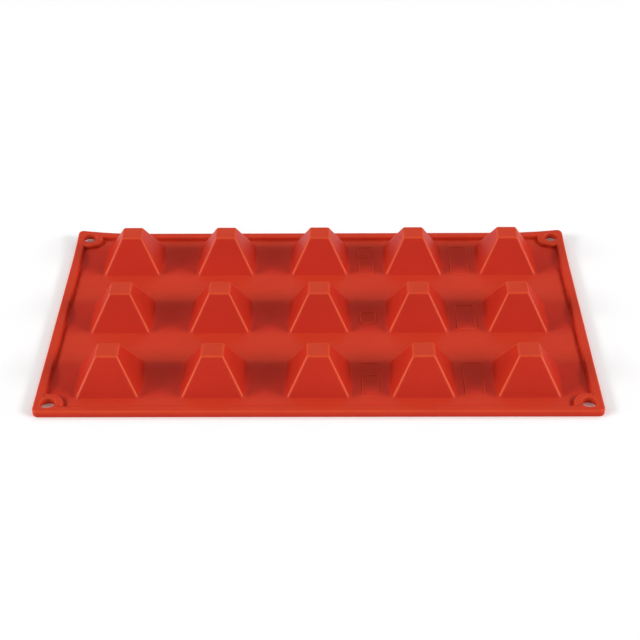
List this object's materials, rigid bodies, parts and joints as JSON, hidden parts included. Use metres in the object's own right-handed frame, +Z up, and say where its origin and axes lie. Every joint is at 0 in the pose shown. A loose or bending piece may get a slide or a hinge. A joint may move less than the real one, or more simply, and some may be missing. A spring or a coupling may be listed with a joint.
{
  "type": "silicone casting mould",
  "caption": "Flexible one-piece silicone casting mould: a flat rectangular sheet with a raised rim, holes in the corners and rows of truncated pyramid cavities.",
  "frame": {"origin": "middle of the sheet on the plane of the cavity mouths, on which the mould lies", "axes": "+X along the sheet's length to the right, +Y along its width to the back, +Z up, from the cavity mouths to the cavity bottoms"},
  "size_m": [0.3, 0.175, 0.0225],
  "materials": {
    "cavity_silicone": "satin",
    "web_silicone": "satin",
    "rim_silicone": "satin"
  },
  "bodies": {
    "root": {"cavity_r1c1": "cavity_silicone", "cavity_r1c2": "cavity_silicone", "cavity_r1c3": "cavity_silicone", "cavity_r1c4": "cavity_silicone", "cavity_r1c5": "cavity_silicone", "cavity_r2c1": "cavity_silicone", "cavity_r2c2": "cavity_silicone", "cavity_r2c3": "cavity_silicone", "cavity_r2c4": "cavity_silicone", "cavity_r2c5": "cavity_silicone", "cavity_r3c1": "cavity_silicone", "cavity_r3c2": "cavity_silicone", "cavity_r3c3": "cavity_silicone", "cavity_r3c4": "cavity_silicone", "cavity_r3c5": "cavity_silicone", "web_band_front": "web_silicone", "web_band_mid_front": "web_silicone", "web_band_mid_back": "web_silicone", "web_band_back": "web_silicone", "web_bridges_row1": "web_silicone", "web_bridges_row2": "web_silicone", "web_bridges_row3": "web_silicone", "rim_front": "rim_silicone", "rim_back": "rim_silicone", "rim_left": "rim_silicone", "rim_right": "rim_silicone", "eyelet_front_left": "rim_silicone", "eyelet_front_right": "rim_silicone", "eyelet_back_left": "rim_silicone", "eyelet_back_right": "rim_silicone"}
  },
  "joints": []
}
